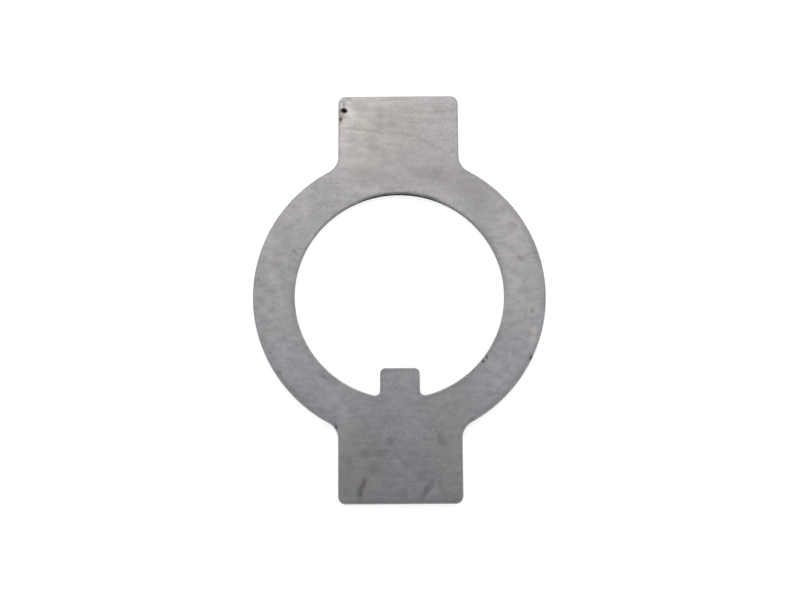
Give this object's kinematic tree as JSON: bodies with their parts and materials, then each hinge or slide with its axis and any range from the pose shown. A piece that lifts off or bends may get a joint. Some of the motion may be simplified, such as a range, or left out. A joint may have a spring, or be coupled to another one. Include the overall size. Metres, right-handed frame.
{
  "type": "tab lock washer",
  "caption": "Flat stamped steel ring with opposed tabs to bend up against a nut, and an inner tongue that keys into a slotted shaft so the nut can't turn loose.",
  "frame": {"origin": "on the axis of the bore, in the plane of the underside", "axes": "+Z along the bore's axis, up through the sheet; +Y along the line of the tabs, away from the tongue"},
  "size_m": [0.035, 0.0498, 0.001],
  "materials": {
    "sheet_steel": "plain cold-rolled mill finish, dull grey, with faint stains and handling marks"
  },
  "bodies": {
    "root": {"lock_washer": "sheet_steel"}
  },
  "joints": []
}
